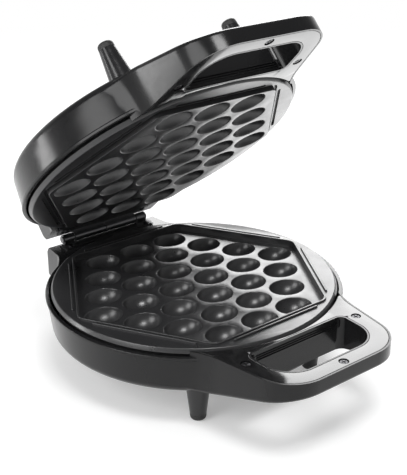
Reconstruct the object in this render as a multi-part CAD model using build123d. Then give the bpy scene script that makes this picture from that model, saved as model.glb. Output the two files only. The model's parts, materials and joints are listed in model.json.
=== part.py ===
"""Bubble waffle maker: a base and a hinged lid, each with a heated plate of oval pockets.

Both halves are drawn face up, with the plate's centre on the Z axis and the foot tips on Z = 0.
The lid's pieces are then turned over onto the base and opened about the hinge pin.
Millimetres, +Z up, handle towards -Y, hinge towards +Y.
"""
from build123d import *
import math
import os

# Plates
plate_r = 100.0          # widest radius of a plate's side wall
plate_edge_in = 1.6      # the side wall leans in by this much at the rim
plate_side_h = 3.6       # height of the plate's side wall that shows above the casing
rim_z = 60.0             # rim of the base plate above the table
rim_gap = 1.0            # gap between the two rims with the lid down
plate_t = 4.0            # thickness of the flat ring
skirt_r = 97.2           # skirt that drops into the casing
skirt_t = 2.6
skirt_h = 4.0            # depth of the skirt below the side wall
hex_apothem = 81.8       # from the centre to the inner face of the ribs
rib_w = 1.5              # width of one rib
rib_h = 1.2              # height of the ribs over the base plate's ring
rib_pitch = 3.1          # from the inner rib to the outer one
rib_round = 0.45
outer_rib_l = 72.0       # the outer ribs stop short of the corners
groove_clear = 0.4       # room for a rib in the lid plate's groove, each side and below
hex_corner_r = 8.0
base_face_drop = 4.0     # base plate's pocket face below its ring
lid_face_rise = 2.5      # lid plate's pocket face above its ring
face_t = 3.5             # plate thickness at the pocket faces

# Pockets: ovals in rows of 3, 4, 5, 6, 5, 4 and 3
pocket_rows = (3, 4, 5, 6, 5, 4, 3)
pocket_pitch = 30.4
row_pitch = 23.1
pocket_half_l = 13.0     # half length at the face, along X
pocket_half_w = 11.1     # half width at the face, along Y
pocket_lift = 2.0        # centre of the oval above the face
pocket_wall = 2.0
pocket_pad = 0.5         # flat on the underside of each pocket
pocket_lip_r = 0.6
plateau_edge_r = 0.3

# Casing
body_bottom_z = 28.0     # flat underside of the casing
body_low_r = 99.7        # casing radius at its foot
body_top_r = 102.6       # casing radius under the lip
lip_w = 0.9              # lip stands out by this much
lip_h = 2.6
edge_r = 7.0             # round between the wall and the underside
wall = 2.2
plate_gap = 1.0          # gap between the plate's side and the lip

# Handle loop
handle_top_z = 59.5
handle_front_y = -151.3
neck_root_x = 69.0
neck_root_y = -71.0
neck_x = 58.6
neck_y = -88.2
front_x = 48.3
neck_round = 50.0
front_round = 28.0
slope_y = -88.0          # where the sloping underside starts
slope_z = 31.0
slope_tan = 0.285
slope_round = 60.0       # round where the slope starts
handle_low_round = 3.0
handle_end_y = -78.0     # the raised edge round the cover stops here
hole_back_y = -103.7
hole_front_y = -138.2
hole_half_back = 40.2
hole_half_front = 38.6
hole_round_back = 4.5
hole_round_front = 19.0
hole_wall = 2.0
hole_rim = 1.1           # casing wall that shows inside the cover's hole

# Handle cover
cover_t = 3.0
cover_edge = 1.2         # casing edge that shows round the cover
cover_clear = 0.2
cover_round = 0.4
cover_tip_y = -83.0      # the cover's two tips are cut square here
cover_arc_gap = 1.4      # from the plate's side to the cover
cover_screw_x = 47.3
cover_screw_y = -110.0
front_screw_y = -145.0
cover_head_r = 2.9
cover_head_t = 1.3
cover_recess_r = 3.3
cover_recess_d = 1.8
cover_shank_r = 1.3
cover_shank_l = 7.0
boss_r = 3.4
thread_clear = 0.05
recess_w = 0.7           # cross recess in a screw head
recess_d = 0.7

# Rear housing
housing_root_x = 68.5
housing_root_y = 71.5
housing_neck_x = 50.5
housing_neck_y = 97.0
housing_back_x = 47.5
housing_back_y = 124.9
housing_neck_round = 22.0
housing_back_round = 8.0
housing_bottom_z = 30.5
housing_shoulder = 3.0   # flat deck ends this far behind the hinge axis
housing_slope = 50.0     # degrees, so that the lid can swing back
housing_low_round = 3.0
lead_way_half = 26.0     # opening between the body and the rear housing
lead_way_low = 32.7
lead_way_over = 4.0      # above the element's centre line

# Hinge
hinge_y = 112.9
knuckle_r = 3.5
pin_r = 1.5
pin_clear = 0.05
leaf_t = 0.9
leaf_gap = 0.3
leaf_half = 40.5
leaf_depth = 9.4
knuckle_outer = 37.6
knuckle_split = 28.4
knuckle_gap = 0.7
web_depth = 3.0
pin_head_r = 2.4
pin_head_t = 0.9
leaf_screw_x = 34.8
leaf_screw_y = 106.2
leaf_head_r = 2.2
leaf_head_t = 1.1
leaf_shank_r = 1.2
leaf_shank_l = 7.0
leaf_boss_r = 3.4
lid_open = 43.7          # degrees, lid as stored

# Feet
foot_x = 50.0
foot_y = 67.0
foot_top_r = 8.4
foot_low_r = 5.6
cap_h = 4.6
cap_flat_r = 3.0
cap_round = 2.2
cap_stem_r = 2.9
cap_stem_h = 4.0
foot_bore_r = 3.0
foot_seat = 8.0          # solid part of the foot under the casing
foot_head_r = 2.75
foot_head_t = 2.0
foot_shank_r = 1.5
foot_shank_l = 13.0
foot_boss_r = 4.2
foot_boss_h = 4.0

# Heating
heater_r = 3.25
heater_clear = 0.1
heater_gap_half = 12.0   # half the distance between the element's two ends
heater_end_y = 84.0
heater_bend_r = 9.0
seal_r = 4.0
seal_l = 5.0
tab_w = 6.3
tab_t = 0.8
tab_l = 7.0
reflector_t = 0.8
reflector_r = 95.0
reflector_lip = 5.0
reflector_round = 2.0
notch_half = 18.0        # rear notch in the reflector's rim, for the element's ends
notch_y = 88.0
notch_step = 0.8
saddle_l = 14.0
saddle_w = 9.0
saddle_h = 2.4
saddle_angles = (-60.0, -120.0, 20.0, 160.0)
post_ring_r = 88.0
post_angles = (30.0, 150.0, 210.0, 330.0)
post_r = 4.5
post_hole_d = 12.0
post_screw_r = 1.5
post_head_r = 3.8
post_head_t = 2.2
post_recess_r = 4.3
post_recess_d = 3.2
post_boss_r = 6.0
post_bite = 9.0          # thread inside the post
pass_clear = 0.5         # clearance hole round a screw

# Control parts in the base
stat_r = 8.0
stat_h = 6.0
stat_bracket_l = 26.0
stat_bracket_w = 10.0
stat_bracket_t = 0.8
stat_lead_x = 4.0
stat_lead_y = 17.0
fuse_r = 2.0
fuse_l = 14.0
fuse_x = -20.0
block_half = 22.0
block_front_y = 106.0
block_back_y = 115.0
block_over = 3.0         # above the element's centre line
block_well_r = 2.2
block_well_d = 2.0
block_wells = 5
gland_x = 24.0
gland_z = 38.4
gland_flange_r = 5.8
gland_flange_t = 2.0
gland_body_r = 4.4
gland_bore_r = 3.2
gland_nut_r = 6.0
gland_nut_t = 2.0
gland_thread_l = 1.0
lead_r = 1.1
lead_z = 32.8
lead_rise = 1.1
lead_bend = 3.4

# Indicator lamps in the lid
lamp_x = 9.0
lamp_y = -84.0
lens_r = 3.4
lens_t = 0.9
lens_stem_r = 2.6
lens_clear = 0.1
lens_stem_h = 6.0
bulb_r = 2.0
bulb_h = 5.0
holder_w = 10.0
holder_h = 3.4
lamp_lead_x = 24.0

# Places worked out from the sizes above
mate_z = rim_z + rim_gap / 2
hinge_z = mate_z
deck_z = hinge_z - knuckle_r - leaf_gap - leaf_t
floor_z = body_bottom_z + wall
cover_low_z = handle_top_z - cover_t
side_low_z = rim_z - plate_side_h
ring_low_z = rim_z - plate_t
skirt_low_z = side_low_z - skirt_h
cavity_top_r = plate_r + plate_gap
base_face_z = rim_z - base_face_drop
lid_face_z = rim_z + lid_face_rise
pocket_b = math.hypot(pocket_half_w, pocket_lift)
pocket_a = pocket_half_l / math.sqrt(1 - (pocket_lift / pocket_b) ** 2)
pocket_depth = pocket_b - pocket_lift
heater_ring_r = math.hypot(2 * pocket_pitch, row_pitch)
far = 400.0              # larger than the whole part
low_centre = (Align.CENTER, Align.CENTER, Align.MIN)
high_centre = (Align.CENTER, Align.CENTER, Align.MAX)


class Stack:
    """Heights of what lies under one plate, worked down from its pocket face."""

    def __init__(self, face_z):
        self.face = face_z
        self.pad = face_z - pocket_depth - pocket_wall + pocket_pad
        self.heater = self.pad - heater_clear - heater_r
        self.reflector_top = self.heater - heater_r - saddle_h
        self.reflector_low = self.reflector_top - reflector_t


def rounded(face, radii):
    """Round chosen corners of a flat face; radii is a list of (x, y, radius)."""
    for x, y, radius in radii:
        corner = face.vertices().sort_by_distance(Vector(x, y, 0))[0]
        face = fillet(corner, radius)
    return face


def prism(face, low, high):
    """Straight block on a flat outline, from one height to another."""
    return extrude(Pos(0, 0, low) * face, high - low)


def peg(x, y, low, high, radius):
    """Round upright peg."""
    return Pos(x, y, low) * Cylinder(radius, high - low, align=low_centre)


def mirrored(x_values, y_values):
    return [(x, y) for x in x_values for y in y_values]


# Outlines of the handle loop and the rear housing

def handle_outline(inset=0.0):
    """Outline of the handle loop, drawn in by inset."""
    corners = [(neck_root_x, neck_root_y), (neck_x, neck_y), (front_x, handle_front_y)]
    corners += [(-x, y) for x, y in reversed(corners)]
    face = make_face(Polyline(*corners, close=True))
    face = rounded(face, [(sx * front_x, handle_front_y, front_round) for sx in (1, -1)])
    face = rounded(face, [(sx * neck_x, neck_y, neck_round) for sx in (1, -1)])
    if inset:
        face = offset(face, -inset)
    return face


def finger_hole(grow=0.0):
    """D-shaped finger hole."""
    corners = [(hole_half_back, hole_back_y), (hole_half_front, hole_front_y)]
    corners += [(-x, y) for x, y in reversed(corners)]
    face = make_face(Polyline(*corners, close=True))
    rounds = [(sx * hole_half_front, hole_front_y, hole_round_front) for sx in (1, -1)]
    rounds += [(sx * hole_half_back, hole_back_y, hole_round_back) for sx in (1, -1)]
    face = rounded(face, rounds)
    if grow:
        face = offset(face, grow)
    return face


def housing_outline(inset=0.0):
    """Outline of the rear housing, drawn in by inset."""
    corners = [(housing_root_x, housing_root_y), (housing_neck_x, housing_neck_y)]
    corners += [(housing_back_x, housing_back_y)]
    corners += [(-x, y) for x, y in reversed(corners)]
    face = make_face(Polyline(*corners, close=True))
    rounds = [(sx * housing_back_x, housing_back_y, housing_back_round) for sx in (1, -1)]
    rounds += [(sx * housing_neck_x, housing_neck_y, housing_neck_round) for sx in (1, -1)]
    face = rounded(face, rounds)
    if inset:
        face = offset(face, -inset)
    return face


def side_wedge(points, half=far):
    """Block with a side outline in Y and Z, running across the part along X."""
    face = Plane.YZ * make_face(Polyline(*points, close=True))
    return extrude(face, half, both=True)


# Casing, the same for the base and the lid

def round_body():
    """Round part of the casing with its lip, before it is hollowed."""
    lip_r = body_top_r + lip_w
    face = make_face(Polyline(
        (0, body_bottom_z), (body_low_r, body_bottom_z), (body_top_r, deck_z - lip_h),
        (lip_r, deck_z - lip_h + lip_w), (lip_r, deck_z), (0, deck_z), close=True))
    face = rounded(face, [(body_low_r, body_bottom_z, edge_r), (lip_r, deck_z, lip_w / 2)])
    return revolve(Plane.XZ * face, Axis.Z)


def round_cavity():
    """Room inside the round part for the plate, the element and the reflector."""
    face = make_face(Polyline(
        (0, floor_z), (body_low_r - wall, floor_z), (cavity_top_r, deck_z - lip_h),
        (cavity_top_r, far), (0, far), close=True))
    face = rounded(face, [(body_low_r - wall, floor_z, edge_r - wall)])
    return revolve(Plane.XZ * face, Axis.Z)


def under_slope(lift=0.0):
    """Space under the handle's sloping underside, raised by lift."""
    low = slope_z + lift
    front_z = low + (slope_y + far) * slope_tan
    face = make_face(Polyline(
        (-far, front_z), (slope_y, low), (0, low), (0, -far), (-far, -far), close=True))
    face = rounded(face, [(slope_y, low, slope_round)])
    return extrude(Plane.YZ * face, far, both=True)


def low_outline_edges(block):
    """Edges round the underside of a block, without those between its own low faces."""
    low = [face for face in block.faces() if face.normal_at().Z < -0.5]
    edges = [edge for face in low for edge in face.edges()]
    return [e for e in edges if sum((o.center() - e.center()).length < 1e-5 for o in edges) == 1]


def handle_block():
    block = prism(handle_outline(), body_bottom_z, handle_top_z) - under_slope()
    edges = [e for e in low_outline_edges(block) if e.center().Y < neck_root_y - 0.5]
    return fillet(edges, handle_low_round)


def handle_cavity():
    """Trough inside the handle, round the finger hole and outside the round body."""
    trough = prism(handle_outline(wall), body_bottom_z, cover_low_z) - under_slope(wall)
    trough -= Cylinder(body_top_r, far, align=low_centre)
    return trough - prism(finger_hole(hole_wall), 0, far)


def housing_slopes(lift=0.0):
    """Space behind the hinge that the other half swings through."""
    start_y = hinge_y + housing_shoulder
    drop = (far - start_y) * math.tan(math.radians(housing_slope))
    return side_wedge([(start_y, deck_z - lift), (far, deck_z - lift - drop), (far, far), (start_y, far)])


def housing_block():
    block = prism(housing_outline(), housing_bottom_z, deck_z) - housing_slopes()
    edges = [e for e in low_outline_edges(block) if e.center().Y > housing_root_y + 0.5]
    return fillet(edges, housing_low_round)


def housing_cavity(stack):
    room = prism(housing_outline(wall), housing_bottom_z + wall, deck_z - wall)
    room -= housing_slopes(wall / math.cos(math.radians(housing_slope)))
    room -= Cylinder(body_top_r, far, align=low_centre)
    depth = hinge_y - body_low_r + 2 * wall
    height = stack.heater + lead_way_over - lead_way_low
    way = Pos(0, body_low_r - 2 * wall, lead_way_low) * Box(
        2 * lead_way_half, depth, height, align=(Align.CENTER, Align.MIN, Align.MIN))
    return room + way


def cover_screw_places():
    return mirrored((-cover_screw_x, cover_screw_x), (cover_screw_y,)) + [(0, front_screw_y)]


def foot_places():
    return mirrored((-foot_x, foot_x), (-foot_y, foot_y))


def post_places():
    turn = [math.radians(a) for a in post_angles]
    return [(post_ring_r * math.cos(t), post_ring_r * math.sin(t)) for t in turn]


def leaf_screw_places():
    return mirrored((-leaf_screw_x, leaf_screw_x), (leaf_screw_y,))


def casing(stack):
    """Casing of one half: round body, handle loop and rear housing in one moulding."""
    shell = round_body() + handle_block() + housing_block()
    shell -= round_cavity()
    shell -= handle_cavity()
    shell -= housing_cavity(stack)
    rebate = prism(handle_outline(cover_edge), cover_low_z, far)
    shell -= rebate - prism(finger_hole(hole_rim), 0, handle_top_z)
    shell -= Pos(0, handle_end_y, deck_z) * Box(far, far, far, align=(Align.CENTER, Align.MIN, Align.MIN))
    for x, y in cover_screw_places():
        boss = peg(x, y, body_bottom_z, cover_low_z, boss_r) - under_slope(wall / 2)
        shell += boss
        shell -= peg(x, y, cover_low_z - cover_shank_l, far, cover_shank_r + thread_clear)
    for x, y in foot_places():
        top = floor_z + foot_boss_h
        shell += peg(x, y, floor_z - wall / 2, top, foot_boss_r)
        shell -= peg(x, y, body_bottom_z - 1, top + 1, foot_shank_r + thread_clear)
    for x, y in post_places():
        shell += peg(x, y, body_bottom_z + wall / 2, stack.reflector_low, post_boss_r)
        shell -= peg(x, y, body_bottom_z - 1, body_bottom_z + post_recess_d, post_recess_r)
        shell -= peg(x, y, body_bottom_z - 1, far, post_screw_r + pass_clear)
    for x, y in leaf_screw_places():
        shell += peg(x, y, deck_z - leaf_shank_l, deck_z, leaf_boss_r) - round_cavity()
        shell -= peg(x, y, deck_z - leaf_shank_l - 1, far, leaf_shank_r + thread_clear)
    return shell - prism(finger_hole(), 0, far)


# Screws

def screw(x, y, seat_z, head_r, head_t, shank_r, shank_l):
    """Pan-head screw with a cross recess, head up on its seat, shank down."""
    part = peg(x, y, seat_z - shank_l, seat_z + 0.1, shank_r)
    head = peg(x, y, seat_z, seat_z + head_t, head_r)
    head = fillet(head.edges().sort_by(Axis.Z)[-1], head_t * 0.45)
    for turn in (0, 90):
        slot = Box(1.3 * head_r, recess_w, recess_d, align=high_centre)
        head -= Pos(x, y, seat_z + head_t) * Rot(0, 0, turn) * slot
    return part + head


def turned_screw(x, y, seat_z, head_r, head_t, shank_r, shank_l):
    """The same screw driven from below: head down, shank up."""
    return Pos(x, y, seat_z) * Rot(180, 0, 0) * screw(0, 0, 0, head_r, head_t, shank_r, shank_l)


def cover_screws():
    seat = handle_top_z - cover_recess_d
    return [screw(x, y, seat, cover_head_r, cover_head_t, cover_shank_r, cover_shank_l)
            for x, y in cover_screw_places()]


def leaf_screws():
    seat = deck_z + leaf_t
    return [screw(x, y, seat, leaf_head_r, leaf_head_t, leaf_shank_r, leaf_shank_l)
            for x, y in leaf_screw_places()]


def foot_screws():
    seat = body_bottom_z - foot_seat
    return [turned_screw(x, y, seat, foot_head_r, foot_head_t, foot_shank_r, foot_shank_l)
            for x, y in foot_places()]


def post_screws(stack):
    seat = body_bottom_z + post_recess_d
    length = stack.reflector_top + post_bite - seat
    return [turned_screw(x, y, seat, post_head_r, post_head_t, post_screw_r, length)
            for x, y in post_places()]


# Handle cover

def handle_cover():
    """Plate over the handle trough, with the finger hole and three screw recesses."""
    outline = handle_outline(cover_edge + cover_clear) - Circle(plate_r + cover_arc_gap)
    outline -= Pos(0, cover_tip_y) * Rectangle(far, far, align=(Align.CENTER, Align.MIN))
    outline -= finger_hole(hole_rim + cover_clear)
    cover = prism(outline, cover_low_z, handle_top_z)
    cover = fillet(cover.faces().sort_by(Axis.Z)[-1].edges(), cover_round)
    for x, y in cover_screw_places():
        cover -= peg(x, y, handle_top_z - cover_recess_d, far, cover_recess_r)
        cover -= peg(x, y, 0, far, cover_shank_r + pass_clear)
    return cover


# Baking plates

def pocket_places():
    places = []
    middle = (len(pocket_rows) - 1) / 2
    for row, count in enumerate(pocket_rows):
        for column in range(count):
            places.append(((column - (count - 1) / 2) * pocket_pitch, (row - middle) * row_pitch))
    return places


def egg(grow=0.0):
    """Oval solid whose length lies along X."""
    half = Ellipse(pocket_a + grow, pocket_b + grow) & Pos(0, far / 2) * Rectangle(far, far)
    return revolve(half, Axis.X)


def hexagon(apothem, corner):
    face = RegularPolygon(apothem, 6, major_radius=False)
    return fillet(face.vertices(), corner)


def rib_ring(clear=0.0):
    """Outlines of the inner rib, which is closed, and the six outer ribs."""
    inner = hexagon(hex_apothem + rib_w + clear, hex_corner_r) - hexagon(hex_apothem - clear, hex_corner_r)
    run = hex_apothem + rib_pitch + rib_w / 2
    slot = SlotOverall(outer_rib_l + 2 * clear, rib_w + 2 * clear)
    outer = [Rot(0, 0, 60 * k) * Pos(0, -run) * slot for k in range(6)]
    return [inner] + outer


def plate_blank(stack):
    """Ring, side wall, skirt, undersides of the pockets and screw posts."""
    top_r = plate_r - plate_edge_in
    inner_r = skirt_r - skirt_t
    face = make_face(Polyline(
        (0, ring_low_z), (0, rim_z), (top_r, rim_z), (plate_r, side_low_z), (skirt_r, side_low_z),
        (skirt_r, skirt_low_z), (inner_r, skirt_low_z), (inner_r, ring_low_z), close=True))
    face = rounded(face, [(top_r, rim_z, 1.0), (plate_r, side_low_z, 0.6)])
    plate = revolve(Plane.XZ * face, Axis.Z)
    if stack.face > rim_z:
        plateau = prism(hexagon(hex_apothem - groove_clear, hex_corner_r), rim_z - 1, stack.face)
        plate += fillet(plateau.faces().sort_by(Axis.Z)[-1].edges(), plateau_edge_r)
    else:
        bed = hexagon(hex_apothem + rib_w, hex_corner_r)
        plate += prism(bed, stack.face - face_t, ring_low_z)
    keep = Pos(0, 0, stack.pad) * Cylinder(plate_r, stack.face - 1 - stack.pad, align=low_centre)
    dome = egg(pocket_wall)
    domes = [Pos(x, y, stack.face + pocket_lift) * dome for x, y in pocket_places()]
    plate += [d & keep for d in domes]
    for x, y in post_places():
        plate += peg(x, y, stack.reflector_top, rim_z - 1, post_r)
    return plate


def pocketed(plate, stack):
    """Cut the pockets and round their lips, then drill the posts."""
    tool = egg()
    plate -= [Pos(x, y, stack.face + pocket_lift) * tool for x, y in pocket_places()]
    lip_l = math.pi * (pocket_half_l + pocket_half_w)
    lips = [e for e in plate.edges() if abs(e.center().Z - stack.face) < 0.01
            and abs(e.length - lip_l) < 1]
    plate = fillet(lips, pocket_lip_r)
    for x, y in post_places():
        plate -= peg(x, y, 0, stack.reflector_top + post_hole_d, post_screw_r + thread_clear)
    return plate


def base_plate(stack):
    """Base plate: pocket face sunk below the ring, ribs standing round it."""
    plate = plate_blank(stack)
    plate -= prism(hexagon(hex_apothem, hex_corner_r), stack.face, far)
    for outline in rib_ring():
        rib = prism(outline, rim_z - 0.5, rim_z + rib_h)
        top = rib.faces().sort_by(Axis.Z)[-1]
        plate += fillet(top.edges(), rib_round)
    return pocketed(plate, stack)


def lid_plate(stack):
    """Lid plate: pocket face standing proud of the ring, grooves for the ribs round it."""
    plate = plate_blank(stack)
    for outline in rib_ring(groove_clear):
        plate -= prism(outline, rim_z - (rib_h - rim_gap) - groove_clear - 1.0, far)
    return pocketed(plate, stack)


# Heating element, its seals and terminals, reflector and saddles

def heater(stack):
    """Tubular element: a ring under the pockets with two straight ends at the rear."""
    start = math.degrees(math.asin((heater_gap_half + heater_bend_r) / (heater_ring_r + heater_bend_r)))
    bend_y = (heater_ring_r + heater_bend_r) * math.cos(math.radians(start))
    bend_x = heater_gap_half + heater_bend_r
    ring = CenterArc((0, 0), heater_ring_r, 90 + start, 360 - 2 * start)
    right = CenterArc((bend_x, bend_y), heater_bend_r, 180, 90 - start)
    left = CenterArc((-bend_x, bend_y), heater_bend_r, 270 + start, 90 - start)
    right_end = Line((heater_gap_half, bend_y), (heater_gap_half, heater_end_y))
    left_end = Line((-heater_gap_half, bend_y), (-heater_gap_half, heater_end_y))
    path = Wire(left_end.edges() + left.edges() + ring.edges() + right.edges() + right_end.edges())
    path = Pos(0, 0, stack.heater) * path
    section = Pos(-heater_gap_half, heater_end_y, stack.heater) * Rot(90, 0, 0) * Circle(heater_r)
    return sweep(section, path)


def heater_seals(stack):
    tube = Rot(-90, 0, 0) * Cylinder(seal_r, seal_l, align=low_centre)
    return [Pos(sx * heater_gap_half, heater_end_y, stack.heater) * tube for sx in (-1, 1)]


def heater_tabs(stack):
    start_y = heater_end_y + seal_l
    tab = Box(tab_t, tab_l, tab_w, align=(Align.CENTER, Align.MIN, Align.CENTER))
    return [Pos(sx * heater_gap_half, start_y, stack.heater) * tab for sx in (-1, 1)]


def reflector(stack, holes=()):
    """Dished sheet under the element, drilled for the plate screws."""
    low, top = stack.reflector_low, stack.reflector_top
    inner = reflector_r - reflector_t
    face = make_face(Polyline(
        (0, low), (reflector_r, low), (reflector_r, top + reflector_lip),
        (inner, top + reflector_lip), (inner, top), (0, top), close=True))
    face = rounded(face, [(reflector_r, low, reflector_round), (inner, top, reflector_round - reflector_t)])
    dish = revolve(Plane.XZ * face, Axis.Z)
    for x, y in post_places():
        dish -= peg(x, y, 0, far, post_screw_r + pass_clear)
    for x, y in holes:
        dish -= peg(x, y, 0, far, 2 * lead_r)
    notch = Box(2 * notch_half, far, far, align=(Align.CENTER, Align.MIN, Align.MIN))
    return dish - Pos(0, notch_y, top + notch_step) * notch


def heater_saddles(stack):
    """Blocks that hold the element up against the pockets."""
    block = Pos(heater_ring_r, 0, stack.reflector_top) * Box(
        saddle_l, saddle_w, saddle_h + heater_r, align=low_centre)
    block -= Pos(0, 0, stack.heater) * Torus(heater_ring_r, heater_r + heater_clear)
    return [Rot(0, 0, angle) * block for angle in saddle_angles]


# Feet

def feet():
    """Tapered feet with a bore from below for the screw and the cap's stem."""
    face = make_face(Polyline(
        (0, cap_h), (foot_low_r, cap_h), (foot_top_r, body_bottom_z), (0, body_bottom_z), close=True))
    body = revolve(Plane.XZ * face, Axis.Z)
    body -= peg(0, 0, 0, body_bottom_z - foot_seat, foot_bore_r)
    body -= peg(0, 0, 0, far, foot_shank_r + pass_clear / 2)
    return [Pos(x, y, 0) * body for x, y in foot_places()]


def foot_caps():
    """Soft caps with a rounded tip and a stem up the foot's bore."""
    face = make_face(Polyline(
        (0, 0), (cap_flat_r + cap_round, 0), (foot_low_r, cap_h), (cap_stem_r, cap_h),
        (cap_stem_r, cap_h + cap_stem_h), (0, cap_h + cap_stem_h), close=True))
    face = rounded(face, [(cap_flat_r + cap_round, 0, cap_round)])
    body = revolve(Plane.XZ * face, Axis.Z)
    return [Pos(x, y, 0) * body for x, y in foot_places()]


# Hinge

def knuckle(low_x, high_x):
    """One hollow knuckle with the web that joins it to its leaf."""
    length = high_x - low_x
    barrel = Cylinder(knuckle_r, length, rotation=(0, 90, 0))
    web_low = deck_z - hinge_z
    web = Pos(0, 0, web_low) * Box(
        length, web_depth, -web_low - pin_r, align=(Align.CENTER, Align.MAX, Align.MIN))
    piece = barrel + web - Cylinder(pin_r + pin_clear, length + 2, rotation=(0, 90, 0))
    return Pos((low_x + high_x) / 2, hinge_y, hinge_z) * piece


def leaf(spans):
    """Hinge leaf on the rear deck, with a knuckle on each span of X and its mirror."""
    strip = Pos(0, hinge_y, deck_z) * Box(
        2 * leaf_half, leaf_depth, leaf_t, align=(Align.CENTER, Align.MAX, Align.MIN))
    upright = [e for e in strip.edges().filter_by(Axis.Z) if e.center().Y < hinge_y - 1]
    strip = fillet(upright, 2.0)
    for low_x, high_x in spans:
        strip += knuckle(low_x, high_x)
        strip += knuckle(-high_x, -low_x)
    for x, y in leaf_screw_places():
        strip -= peg(x, y, 0, far, leaf_shank_r + pass_clear / 2)
    return strip


def hinge_pin():
    half = knuckle_outer + pin_clear
    pin = Cylinder(pin_r, 2 * half, rotation=(0, 90, 0))
    head = Cylinder(pin_head_r, pin_head_t, rotation=(0, 90, 0))
    for side in (-1, 1):
        pin += Pos(side * (half + pin_head_t / 2), 0, 0) * head
    return Pos(0, hinge_y, hinge_z) * pin


# Control parts

def thermostat(stack):
    return peg(pocket_pitch / 2, 0, stack.pad - heater_clear - stat_h, stack.pad - heater_clear, stat_r)


def thermostat_bracket(stack):
    """Bridge on the reflector that carries the thermostat."""
    top = stack.pad - heater_clear - stat_h
    low = stack.reflector_top
    bridge = Pos(0, 0, low) * Box(stat_bracket_l, stat_bracket_w, top - low, align=low_centre)
    under = Pos(0, 0, low) * Box(
        stat_bracket_l - 2 * stat_bracket_t, stat_bracket_w + 2, top - low - stat_bracket_t, align=low_centre)
    return Pos(pocket_pitch / 2, 0, 0) * (bridge - under)


def thermal_fuse(stack):
    body = Cylinder(fuse_r, fuse_l, rotation=(90, 0, 0))
    body = fillet(body.edges(), 0.6)
    return Pos(fuse_x, 0, stack.reflector_top + fuse_r) * body


def terminal_block(stack):
    """Insulating block in the rear housing, with a row of clamp wells."""
    low = housing_bottom_z + wall
    top = stack.heater + block_over
    depth = block_back_y - block_front_y
    block = Pos(0, block_front_y, low) * Box(
        2 * block_half, depth, top - low, align=(Align.CENTER, Align.MIN, Align.MIN))
    pitch = 2 * block_half / block_wells
    for k in range(block_wells):
        x = (k - (block_wells - 1) / 2) * pitch
        block -= peg(x, block_front_y + depth / 2, top - block_well_d, far, block_well_r)
    return block


def tube_along(points, radii):
    """Insulated lead along straight runs, with a bend radius for each inner point."""
    path = FilletPolyline(*points, radius=radii) if len(points) > 2 else Line(*points)
    start = path @ 0
    along = path % 0
    section = Plane(origin=start, z_dir=along) * Circle(lead_r)
    return sweep(section, path)


def heater_leads(stack):
    """Short leads from the block to the element's two tabs."""
    start_y = heater_end_y + seal_l + tab_l
    return [tube_along([(sx * heater_gap_half, start_y, stack.heater),
                        (sx * heater_gap_half, block_front_y, stack.heater)], None) for sx in (-1, 1)]


def stat_hole_places():
    return [(pocket_pitch / 2 + sx * stat_lead_x, stat_lead_y) for sx in (-1, 1)]


def stat_leads(stack):
    """Leads that pass under the reflector and come up beside the thermostat."""
    rise_z = stack.pad - heater_clear - stat_h / 2
    end_y = math.sqrt(stat_r ** 2 - (stat_lead_x - lead_r) ** 2)
    leads = []
    for x, y in stat_hole_places():
        low = lead_z + lead_rise
        points = [(x, block_front_y, low), (x, y, low), (x, y, rise_z), (x, end_y, rise_z)]
        leads.append(tube_along(points, [lead_bend, lead_bend]))
    return leads


def gland():
    """Bushing in the rear wall for the supply cord, with a bore that is open right through."""
    back = housing_back_y
    flange = Rot(-90, 0, 0) * Cylinder(gland_flange_r, gland_flange_t, align=low_centre)
    flange = fillet(flange.edges().sort_by(Axis.Y)[-1], 0.8)
    body = Rot(90, 0, 0) * Cylinder(gland_body_r, wall + gland_nut_t + gland_thread_l, align=low_centre)
    bore = Cylinder(gland_bore_r, far, rotation=(90, 0, 0))
    return Pos(gland_x, back, gland_z) * (flange + body - bore)


def gland_nut():
    nut = Rot(90, 0, 0) * extrude(RegularPolygon(gland_nut_r, 6), gland_nut_t)
    nut -= Cylinder(gland_body_r + pin_clear, far, rotation=(90, 0, 0))
    return Pos(gland_x, housing_back_y - wall, gland_z) * nut


# Indicator lamps

def lamp_lens(x):
    """Coloured lens, pressed through the casing from outside."""
    lens = peg(0, 0, body_bottom_z - lens_t, body_bottom_z, lens_r)
    lens = fillet(lens.edges().sort_by(Axis.Z)[0], lens_t * 0.6)
    lens += peg(0, 0, body_bottom_z - 0.1, body_bottom_z + lens_stem_h, lens_stem_r)
    return Pos(x, lamp_y, 0) * lens


def lamp_holder():
    """Frame on the casing's inside that the two lens stems snap into."""
    block = Pos(0, lamp_y, floor_z) * Box(2 * lamp_x + 2 * holder_w, holder_w, holder_h, align=low_centre)
    for x in (-lamp_x, lamp_x):
        block -= peg(x, lamp_y, 0, far, lens_stem_r + lens_clear)
    return block


def lamp_bulbs():
    low = body_bottom_z + lens_stem_h
    bulb = fillet(peg(0, 0, low, low + bulb_h, bulb_r).edges(), 0.8)
    return [Pos(x, lamp_y, 0) * bulb for x in (-lamp_x, lamp_x)]


def lamp_leads(stack):
    """One lead from each bulb along the casing floor to the rear block."""
    top = body_bottom_z + lens_stem_h + bulb_h
    leads = []
    for side in (-1, 1):
        x = side * lamp_x
        out = side * lamp_lead_x
        low = lead_z
        points = [(x + side * bulb_r, lamp_y, top - 2), (out, lamp_y, top - 2), (out, lamp_y + 12, low),
                  (out * 0.5, 60, low + lead_rise), (out * 0.5, block_front_y, low + lead_rise)]
        leads.append(tube_along(points, [lead_bend, lead_bend, lead_bend]))
    return leads


# Placing

def lid_place(shape):
    """Turn a piece over onto the base, then open it about the hinge pin."""
    turned = Pos(0, 0, 2 * mate_z) * Rot(0, 180, 0) * shape
    at_pin = Pos(0, -hinge_y, -hinge_z) * turned
    return Pos(0, hinge_y, hinge_z) * Rot(-lid_open, 0, 0) * at_pin


def group(pieces):
    return Compound(pieces) if isinstance(pieces, list) else pieces


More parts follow.
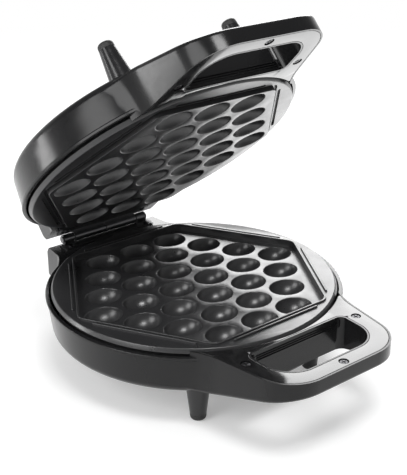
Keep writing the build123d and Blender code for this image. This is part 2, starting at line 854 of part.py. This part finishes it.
def build():
    """Every piece by node name, before the shift to the row's origin."""
    low = Stack(base_face_z)
    high = Stack(lid_face_z)
    outer_spans = [(knuckle_split + knuckle_gap / 2, knuckle_outer)]
    inner_spans = [(knuckle_gap / 2, knuckle_split - knuckle_gap / 2)]
    base = {
        "base_shell": base_shell(low),
        "base_handle_cover": handle_cover(),
        "base_cover_screws": cover_screws(),
        "base_plate": base_plate(low),
        "base_plate_screws": post_screws(low),
        "base_heater": heater(low),
        "base_heater_seals": heater_seals(low),
        "base_heater_tabs": heater_tabs(low),
        "base_heater_saddles": heater_saddles(low),
        "base_reflector": reflector(low, stat_hole_places()),
        "base_feet": feet(),
        "base_foot_caps": foot_caps(),
        "base_foot_screws": foot_screws(),
        "base_hinge_leaf": leaf(outer_spans),
        "base_leaf_screws": leaf_screws(),
        "hinge_pin": hinge_pin(),
        "base_terminal_block": terminal_block(low),
        "base_heater_leads": heater_leads(low),
        "thermostat": thermostat(low),
        "thermostat_bracket": thermostat_bracket(low),
        "thermostat_leads": stat_leads(low),
        "thermal_fuse": thermal_fuse(low),
        "cord_gland": gland(),
        "cord_gland_nut": gland_nut(),
    }
    lid = {
        "lid_shell": lid_shell(high),
        "lid_handle_cover": handle_cover(),
        "lid_cover_screws": cover_screws(),
        "lid_plate": lid_plate(high),
        "lid_plate_screws": post_screws(high),
        "lid_heater": heater(high),
        "lid_heater_seals": heater_seals(high),
        "lid_heater_tabs": heater_tabs(high),
        "lid_heater_saddles": heater_saddles(high),
        "lid_reflector": reflector(high),
        "lid_feet": feet(),
        "lid_foot_caps": foot_caps(),
        "lid_foot_screws": foot_screws(),
        "lid_hinge_leaf": leaf(inner_spans),
        "lid_leaf_screws": leaf_screws(),
        "lid_terminal_block": terminal_block(high),
        "lid_heater_leads": heater_leads(high),
        "power_lamp_lens": lamp_lens(-lamp_x),
        "ready_lamp_lens": lamp_lens(lamp_x),
        "lamp_holder": lamp_holder(),
        "lamp_bulbs": lamp_bulbs(),
        "lamp_leads": lamp_leads(high),
    }
    pieces = {name: group(shape) for name, shape in base.items()}
    pieces.update({name: lid_place(group(shape)) for name, shape in lid.items()})
    return pieces


def base_shell(stack):
    """Base casing, with the hole for the cord gland."""
    hole = Cylinder(gland_body_r + pin_clear, 4 * wall, rotation=(90, 0, 0))
    return casing(stack) - Pos(gland_x, housing_back_y, gland_z) * hole


def lid_shell(stack):
    """Lid casing, with two holes for the lamp lenses."""
    shell = casing(stack)
    for x in (-lamp_x, lamp_x):
        shell -= peg(x, lamp_y, 0, floor_z + 1, lens_stem_r + lens_clear)
    return shell


def main():
    os.makedirs("parts", exist_ok=True)
    pieces = build()
    boxes = [piece.bounding_box() for piece in pieces.values()]
    middle_y = (min(b.min.Y for b in boxes) + max(b.max.Y for b in boxes)) / 2
    for name, piece in pieces.items():
        placed = Pos(0, -middle_y, 0) * piece
        export_step(placed, f"parts/{name}.step")
    print("plate centre at y =", round(-middle_y, 4))


if __name__ == "__main__":
    main()
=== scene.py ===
"""Bubble waffle maker: finishes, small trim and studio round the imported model."""

import bpy
import bmesh
import json
import math
from mathutils import Euler, Matrix, Vector


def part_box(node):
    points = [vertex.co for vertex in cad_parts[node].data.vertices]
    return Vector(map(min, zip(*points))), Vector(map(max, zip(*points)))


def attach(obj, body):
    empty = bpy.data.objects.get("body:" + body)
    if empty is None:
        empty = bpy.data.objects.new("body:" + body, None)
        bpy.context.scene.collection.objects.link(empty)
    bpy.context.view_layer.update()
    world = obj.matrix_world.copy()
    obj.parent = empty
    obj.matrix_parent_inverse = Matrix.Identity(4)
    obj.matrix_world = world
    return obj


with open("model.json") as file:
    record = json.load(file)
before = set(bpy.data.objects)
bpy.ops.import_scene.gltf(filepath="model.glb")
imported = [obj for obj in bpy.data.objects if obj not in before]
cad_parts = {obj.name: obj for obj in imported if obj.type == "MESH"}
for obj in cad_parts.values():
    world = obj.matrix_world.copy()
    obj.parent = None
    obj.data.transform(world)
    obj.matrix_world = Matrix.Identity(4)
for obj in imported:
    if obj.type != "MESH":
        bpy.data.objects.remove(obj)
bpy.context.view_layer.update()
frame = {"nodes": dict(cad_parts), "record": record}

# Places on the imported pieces. Lengths are in metres, but for the camera's sensor
plate_lo, plate_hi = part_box("base_plate")
centre_y = (plate_lo.y + plate_hi.y) / 2
pin_lo, pin_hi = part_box("hinge_pin")
hinge_y = (pin_lo.y + pin_hi.y) / 2
hinge_z = (pin_lo.z + pin_hi.z) / 2
cover_top_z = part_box("base_handle_cover")[1].z
hole_back_distance = 0.1037
hole_back_y = centre_y - hole_back_distance
lid_open = math.radians(43.7)

# From a piece drawn on the base to the same piece on the opened lid
turned_over = Matrix.Translation((0, 0, 2 * hinge_z)) @ Matrix.Rotation(math.pi, 4, "Y")
swung_open = (Matrix.Translation((0, hinge_y, hinge_z)) @ Matrix.Rotation(-lid_open, 4, "X")
              @ Matrix.Translation((0, -hinge_y, -hinge_z)))
onto_lid = swung_open @ turned_over

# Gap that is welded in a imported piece, and the angles past which edges stay crisp
weld_gap = 0.000002
node_crease = math.radians(32)
trim_crease = math.radians(35)

# Grip ledges: drop below the cover's top and reach out of the wall, for each one
ledge_rows = ((0.0032, 0.0007), (0.0046, 0.0010), (0.0060, 0.0013))
ledge_length = 0.070
ledge_height = 0.0008
ledge_root = 0.0006
ledge_round = 0.00025

# Clips at the ledges' ends
clip_size = (0.0022, 0.0024, 0.0056)
clip_side = 0.0365
clip_out = 0.0009
clip_drop = 0.0040
clip_round = 0.0004

# Floor
floor_half = 6.0
floor_drop = 0.0002
floor_grey = 0.80
floor_lift = 0.30
fade_start = 0.45
fade_end = 1.1

# Light from the room, and what gloss sees of it between two heights
world_level = 0.36
room_grey = 0.8
room_dark = 0.22
room_low = 0.02
room_high = 0.45

# Softboxes: name, place, aim, width, height, power in watts
softboxes = (
    ("key_left", (-1.10, -0.02, 0.80), (0, 0, 0.10), 0.75, 0.70, 8.0),
    ("back_right", (0.92, 1.02, 0.72), (0, 0, 0.05), 1.00, 0.75, 16.5),
    ("top_front", (-0.24, -0.54, 1.28), (0, 0, 0.05), 0.45, 0.35, 8.0),
    ("table_right", (0.31, 0.13, 0.003), (0.31, 0.13, 1), 0.30, 0.30, 0.55),
    ("edge_left", (-1.00, 0.85, 0.14), (0, 0, 0.15), 0.32, 0.25, 2.2),
)

# Camera, as fitted to the photograph
focal_pixels = 1025.79
photo_long_side = 475.0
sensor_mm = 36.0
camera_azimuth = math.radians(-38.61)
camera_elevation = math.radians(24.0)
camera_roll = math.radians(-0.29)
camera_distance = 0.6964
target_ahead = 0.01083
target_above_hinge = 0.0339


# Materials

def new_finish(name):
    """A material, its node tree, its principled shader and its object coordinates."""
    finish = bpy.data.materials.new(name)
    finish.use_nodes = True
    tree = finish.node_tree
    shader = tree.nodes["Principled BSDF"]
    place = tree.nodes.new("ShaderNodeTexCoord")
    return finish, tree, shader, place.outputs["Object"]


def grain(tree, place, scale, detail, rough, stretch=None):
    """Noise in object coordinates; stretch draws the pattern out along an axis."""
    noise = tree.nodes.new("ShaderNodeTexNoise")
    noise.inputs["Scale"].default_value = scale
    noise.inputs["Detail"].default_value = detail
    noise.inputs["Roughness"].default_value = rough
    if stretch:
        mapping = tree.nodes.new("ShaderNodeMapping")
        mapping.inputs["Scale"].default_value = stretch
        tree.links.new(place, mapping.inputs["Vector"])
        place = mapping.outputs["Vector"]
    tree.links.new(place, noise.inputs["Vector"])
    return noise.outputs["Fac"]


def spread(tree, value, low, high, start=0.3, end=0.7, ease="LINEAR"):
    """A value between start and end, as one between low and high."""
    ranged = tree.nodes.new("ShaderNodeMapRange")
    ranged.interpolation_type = ease
    ranged.inputs["From Min"].default_value = start
    ranged.inputs["From Max"].default_value = end
    ranged.inputs["To Min"].default_value = low
    ranged.inputs["To Max"].default_value = high
    tree.links.new(value, ranged.inputs["Value"])
    return ranged.outputs["Result"]


def tinted(tree, value, dark, light):
    """A grain's value as a colour between two colours."""
    ramp = tree.nodes.new("ShaderNodeValToRGB")
    for stop, position, colour in zip(ramp.color_ramp.elements, (0.25, 0.75), (dark, light)):
        stop.position = position
        stop.color = (*colour, 1)
    tree.links.new(value, ramp.inputs["Fac"])
    return ramp.outputs["Color"]


def bumped(tree, shader, height, strength, distance):
    """Surface relief from a grain."""
    bump = tree.nodes.new("ShaderNodeBump")
    bump.inputs["Strength"].default_value = strength
    bump.inputs["Distance"].default_value = distance
    tree.links.new(height, bump.inputs["Height"])
    tree.links.new(bump.outputs["Normal"], shader.inputs["Normal"])


def moulded_plastic(name, dark, light, rough, wave, wave_depth, level=0.5):
    """Injection-moulded plastic: slightly uneven gloss and a faint flow wave."""
    finish, tree, shader, place = new_finish(name)
    cloud = grain(tree, place, scale=22.0, detail=4.0, rough=0.55)
    tree.links.new(tinted(tree, cloud, dark, light), shader.inputs["Base Color"])
    fine = grain(tree, place, scale=260.0, detail=3.0, rough=0.6)
    tree.links.new(spread(tree, fine, *rough), shader.inputs["Roughness"])
    flow = grain(tree, place, scale=wave, detail=2.0, rough=0.4)
    bumped(tree, shader, flow, strength=0.35, distance=wave_depth)
    shader.inputs["Specular IOR Level"].default_value = level
    return finish


def non_stick_coating(name, dark, light, rough):
    """Sprayed dark coating on cast aluminium: fine speckle, soft sheen."""
    finish, tree, shader, place = new_finish(name)
    speck = grain(tree, place, scale=2600.0, detail=2.0, rough=0.7)
    tone = spread(tree, speck, 0.0, 1.0, start=0.42, end=0.72)
    tree.links.new(tinted(tree, tone, dark, light), shader.inputs["Base Color"])
    cloud = grain(tree, place, scale=60.0, detail=4.0, rough=0.6)
    tree.links.new(spread(tree, cloud, *rough), shader.inputs["Roughness"])
    tooth = grain(tree, place, scale=1500.0, detail=3.0, rough=0.6)
    bumped(tree, shader, tooth, strength=0.22, distance=0.00010)
    shader.inputs["Specular IOR Level"].default_value = 0.75
    return finish


def rolled_metal(name, dark, light, rough, stretch):
    """Metal with fine lines along the axis whose stretch is least."""
    finish, tree, shader, place = new_finish(name)
    lines = grain(tree, place, scale=700.0, detail=3.0, rough=0.6, stretch=stretch)
    tree.links.new(tinted(tree, lines, dark, light), shader.inputs["Base Color"])
    tree.links.new(spread(tree, lines, *rough), shader.inputs["Roughness"])
    bumped(tree, shader, lines, strength=0.3, distance=0.00004)
    shader.inputs["Metallic"].default_value = 1.0
    return finish


def matt_rubber(name, dark, light):
    """Rubber or woven sleeve with a fine matt skin."""
    finish, tree, shader, place = new_finish(name)
    skin = grain(tree, place, scale=900.0, detail=4.0, rough=0.65)
    tree.links.new(tinted(tree, skin, dark, light), shader.inputs["Base Color"])
    tree.links.new(spread(tree, skin, 0.5, 0.68), shader.inputs["Roughness"])
    bumped(tree, shader, skin, strength=0.4, distance=0.00012)
    return finish


def fired_ceramic(name, dark, light, rough):
    """Unglazed ceramic or pale moulding compound."""
    finish, tree, shader, place = new_finish(name)
    body = grain(tree, place, scale=500.0, detail=5.0, rough=0.6)
    tree.links.new(tinted(tree, body, dark, light), shader.inputs["Base Color"])
    tree.links.new(spread(tree, body, rough - 0.08, rough + 0.08), shader.inputs["Roughness"])
    bumped(tree, shader, body, strength=0.3, distance=0.00008)
    return finish


def tinted_lens(name, dark, light):
    """Clear tinted plastic lens."""
    finish, tree, shader, place = new_finish(name)
    depth = grain(tree, place, scale=180.0, detail=2.0, rough=0.5)
    tree.links.new(tinted(tree, depth, dark, light), shader.inputs["Base Color"])
    tree.links.new(spread(tree, depth, 0.08, 0.16), shader.inputs["Roughness"])
    shader.inputs["Transmission Weight"].default_value = 0.35
    shader.inputs["Coat Weight"].default_value = 0.3
    return finish


gloss_casing = moulded_plastic(
    "gloss_black_casing", (0.0085, 0.0085, 0.009), (0.0125, 0.0125, 0.013),
    rough=(0.17, 0.22), wave=70.0, wave_depth=0.00005, level=0.30)
gloss_cover = moulded_plastic(
    "polished_black_cover", (0.009, 0.009, 0.0095), (0.012, 0.012, 0.0125),
    rough=(0.06, 0.11), wave=45.0, wave_depth=0.00003, level=0.6)
foot_plastic = moulded_plastic(
    "black_foot_plastic", (0.010, 0.010, 0.011), (0.016, 0.016, 0.017),
    rough=(0.16, 0.24), wave=90.0, wave_depth=0.00005)
bushing_plastic = moulded_plastic(
    "black_bushing_plastic", (0.014, 0.014, 0.014), (0.022, 0.022, 0.022),
    rough=(0.38, 0.5), wave=300.0, wave_depth=0.00010)
coated_plate = non_stick_coating(
    "dark_non_stick_plate", (0.020, 0.020, 0.021), (0.042, 0.042, 0.044),
    rough=(0.27, 0.36))
hinge_steel = rolled_metal(
    "black_nickel_hinge", (0.10, 0.10, 0.103), (0.20, 0.20, 0.205),
    rough=(0.27, 0.40), stretch=(0.06, 1.0, 1.0))
dark_screw = rolled_metal(
    "black_zinc_screw", (0.035, 0.035, 0.038), (0.07, 0.07, 0.075),
    rough=(0.24, 0.36), stretch=(1.0, 1.0, 0.3))
element_steel = rolled_metal(
    "heat_blued_element", (0.18, 0.17, 0.17), (0.36, 0.33, 0.30),
    rough=(0.34, 0.48), stretch=(1.0, 1.0, 0.4))
mill_aluminium = rolled_metal(
    "mill_aluminium_sheet", (0.62, 0.62, 0.63), (0.78, 0.78, 0.79),
    rough=(0.26, 0.4), stretch=(0.15, 1.0, 1.0))
terminal_brass = rolled_metal(
    "plain_brass_terminal", (0.52, 0.36, 0.14), (0.74, 0.54, 0.26),
    rough=(0.26, 0.4), stretch=(1.0, 0.2, 1.0))
cap_rubber = matt_rubber("black_rubber_cap", (0.014, 0.014, 0.014), (0.026, 0.026, 0.026))
lead_sleeve = matt_rubber("glass_fibre_sleeve", (0.55, 0.53, 0.48), (0.74, 0.72, 0.66))
seal_ceramic = fired_ceramic(
    "white_ceramic_seal", (0.62, 0.60, 0.56), (0.78, 0.76, 0.72), rough=0.6)
block_compound = fired_ceramic(
    "pale_block_compound", (0.55, 0.54, 0.50), (0.70, 0.69, 0.65), rough=0.5)
red_lens = tinted_lens("red_lamp_lens", (0.35, 0.012, 0.010), (0.50, 0.022, 0.016))
green_lens = tinted_lens("green_lamp_lens", (0.012, 0.22, 0.035), (0.025, 0.36, 0.06))
lamp_glass = tinted_lens("clear_lamp_bulb", (0.55, 0.50, 0.42), (0.72, 0.68, 0.60))

finish_of_slot = {
    "shell": gloss_casing, "cover": gloss_cover, "feet": foot_plastic, "foot_cap": cap_rubber,
    "plate": coated_plate, "element": element_steel, "insulator": seal_ceramic,
    "terminal": terminal_brass, "reflector": mill_aluminium, "screw": dark_screw,
    "hinge": hinge_steel, "thermostat": mill_aluminium, "block": block_compound,
    "lead": lead_sleeve, "gland": bushing_plastic, "lens_red": red_lens,
    "lens_green": green_lens, "bulb": lamp_glass,
}


def dress_nodes():
    """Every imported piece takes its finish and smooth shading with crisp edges."""
    slot_of = {s["node"]: s["material_slot"] for s in frame["record"]["subparts"]}
    for name, piece in frame["nodes"].items():
        finish = finish_of_slot[slot_of[name]]
        if not piece.material_slots:
            piece.data.materials.append(finish)
        for held in piece.material_slots:
            held.material = finish
        for face in piece.data.polygons:
            face.use_smooth = True
        weld = piece.modifiers.new("weld", "WELD")
        weld.merge_threshold = weld_gap
        crease = piece.modifiers.new("crease", "EDGE_SPLIT")
        crease.split_angle = node_crease
        crease.use_edge_sharp = False


# Small trim

def placed(name, mesh):
    """A bmesh as an object at the origin."""
    data = bpy.data.meshes.new(name)
    mesh.to_mesh(data)
    mesh.free()
    piece = bpy.data.objects.new(name, data)
    bpy.context.scene.collection.objects.link(piece)
    return piece


def finished(name, mesh, finish, body, move=None):
    """A bmesh as a piece that rides on a body, first moved if a move is given."""
    if move is not None:
        bmesh.ops.transform(mesh, matrix=move, verts=mesh.verts)
    bmesh.ops.recalc_face_normals(mesh, faces=mesh.faces)
    piece = placed(name, mesh)
    piece.data.materials.append(finish)
    for face in piece.data.polygons:
        face.use_smooth = True
    piece.data.set_sharp_from_angle(angle=trim_crease)
    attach(piece, body)


def rounded_bar(mesh, size, place, radius):
    """A bar with rounded edges, added to a bmesh."""
    made = bmesh.ops.create_cube(mesh, size=1.0)
    bmesh.ops.scale(mesh, vec=size, verts=made["verts"])
    bmesh.ops.translate(mesh, vec=place, verts=made["verts"])
    edges = list({e for v in made["verts"] for e in v.link_edges})
    bmesh.ops.bevel(mesh, geom=edges, offset=radius, offset_type="OFFSET", affect="EDGES",
                    segments=2, profile=0.5, material=-1, clamp_overlap=True)


def finger_ledges(name, body, move=None):
    """Grip ledges on the back wall of the finger hole, with a clip at each end."""
    mesh = bmesh.new()
    for drop, reach in ledge_rows:
        rounded_bar(mesh, (ledge_length, reach + ledge_root, ledge_height),
                    (0, hole_back_y - (reach - ledge_root) / 2, cover_top_z - drop),
                    ledge_round)
    for side in (-1, 1):
        rounded_bar(mesh, clip_size,
                    (side * clip_side, hole_back_y - clip_out, cover_top_z - clip_drop),
                    clip_round)
    finished(name, mesh, gloss_casing, body, move)


# Studio

def feed(tree, value, socket):
    """A socket takes a value: a link from another socket, or a number."""
    if isinstance(value, bpy.types.NodeSocket):
        tree.links.new(value, socket)
    else:
        socket.default_value = value


def combined(tree, operation, first, second):
    """Two values combined by a math operation."""
    node = tree.nodes.new("ShaderNodeMath")
    node.operation = operation
    feed(tree, first, node.inputs[0])
    feed(tree, second, node.inputs[1])
    return node.outputs[0]


def glow(tree, kind, grey, strength):
    """An emission or background shader of one grey."""
    light = tree.nodes.new(kind)
    light.inputs["Color"].default_value = (grey, grey, grey, 1)
    feed(tree, strength, light.inputs["Strength"])
    return light.outputs[0]


def mixed(tree, share, first, second):
    """Two shaders mixed, by the share of the second."""
    mix = tree.nodes.new("ShaderNodeMixShader")
    tree.links.new(share, mix.inputs["Fac"])
    tree.links.new(first, mix.inputs[1])
    tree.links.new(second, mix.inputs[2])
    return mix.outputs[0]


def studio_stage():
    """Pale floor that keeps the shadow near the part and fades to white away from it."""
    mesh = bmesh.new()
    bmesh.ops.create_grid(mesh, x_segments=2, y_segments=2, size=floor_half)
    floor = placed("floor", mesh)
    floor.location.z = -floor_drop
    paint = bpy.data.materials.new("pale_floor")
    paint.use_nodes = True
    tree = paint.node_tree
    tree.nodes.clear()
    out = tree.nodes.new("ShaderNodeOutputMaterial")
    matt = tree.nodes.new("ShaderNodeBsdfDiffuse")
    matt.inputs["Color"].default_value = (floor_grey, floor_grey, floor_grey, 1)
    path = tree.nodes.new("ShaderNodeLightPath")
    seen = combined(tree, "MAXIMUM",
                    path.outputs["Is Camera Ray"], path.outputs["Is Glossy Ray"])
    level = combined(tree, "MULTIPLY", seen, floor_lift)
    lift = glow(tree, "ShaderNodeEmission", 1.0, level)
    both = tree.nodes.new("ShaderNodeAddShader")
    tree.links.new(matt.outputs[0], both.inputs[0])
    tree.links.new(lift, both.inputs[1])
    place = tree.nodes.new("ShaderNodeTexCoord")
    away = tree.nodes.new("ShaderNodeVectorMath")
    away.operation = "LENGTH"
    tree.links.new(place.outputs["Object"], away.inputs[0])
    fade = spread(tree, away.outputs["Value"], 0.0, 1.0, fade_start, fade_end, "SMOOTHSTEP")
    shown = combined(tree, "MULTIPLY", fade, seen)
    plain = glow(tree, "ShaderNodeEmission", 1.0, 1.0)
    tree.links.new(mixed(tree, shown, both.outputs[0], plain), out.inputs["Surface"])
    floor.data.materials.append(paint)


def studio_world():
    """Soft light all round. The eye and clear parts see white, and gloss sees
    a room that is pale at the horizon and darker above."""
    world = bpy.data.worlds.new("studio")
    bpy.context.scene.world = world
    world.use_nodes = True
    tree = world.node_tree
    tree.nodes.clear()
    out = tree.nodes.new("ShaderNodeOutputWorld")
    soft = glow(tree, "ShaderNodeBackground", 1.0, world_level)
    white = glow(tree, "ShaderNodeBackground", 1.0, 1.0)
    place = tree.nodes.new("ShaderNodeTexCoord")
    split = tree.nodes.new("ShaderNodeSeparateXYZ")
    tree.links.new(place.outputs["Generated"], split.inputs[0])
    height = spread(tree, split.outputs["Z"], 1.0, room_dark, room_low, room_high, "SMOOTHSTEP")
    gloss = glow(tree, "ShaderNodeBackground", room_grey, height)
    path = tree.nodes.new("ShaderNodeLightPath")
    eye = combined(tree, "MAXIMUM",
                   path.outputs["Is Camera Ray"], path.outputs["Is Transmission Ray"])
    lit = mixed(tree, path.outputs["Is Glossy Ray"], soft, gloss)
    tree.links.new(mixed(tree, eye, lit, white), out.inputs["Surface"])


def softbox(name, place, aim, width, height, power):
    """Rectangular studio light."""
    light = bpy.data.lights.new(name, "AREA")
    light.shape = "RECTANGLE"
    light.size = width
    light.size_y = height
    light.energy = power
    lamp = bpy.data.objects.new(name, light)
    bpy.context.scene.collection.objects.link(lamp)
    lamp.location = place
    lamp.rotation_euler = (Vector(aim) - Vector(place)).to_track_quat("-Z", "Y").to_euler()


def studio_camera():
    """Camera at the photograph's place."""
    data = bpy.data.cameras.new("camera")
    data.lens = focal_pixels * sensor_mm / photo_long_side
    data.sensor_width = sensor_mm
    data.clip_start = 0.01
    data.clip_end = 50.0
    camera = bpy.data.objects.new("camera", data)
    bpy.context.scene.collection.objects.link(camera)
    back = Vector((math.sin(camera_azimuth) * math.cos(camera_elevation),
                   -math.cos(camera_azimuth) * math.cos(camera_elevation),
                   math.sin(camera_elevation)))
    target = Vector((0.0, centre_y - target_ahead, hinge_z + target_above_hinge))
    turn = Euler((math.pi / 2 - camera_elevation, 0, camera_azimuth)).to_matrix().to_4x4()
    turn = turn @ Matrix.Rotation(camera_roll, 4, "Z")
    camera.matrix_world = Matrix.Translation(target + back * camera_distance) @ turn
    bpy.context.scene.camera = camera


dress_nodes()
finger_ledges("base_finger_ledges", "base")
finger_ledges("lid_finger_ledges", "lid", onto_lid)
studio_stage()
studio_world()
for box in softboxes:
    softbox(*box)
studio_camera()
bpy.context.scene.view_settings.view_transform = "Standard"
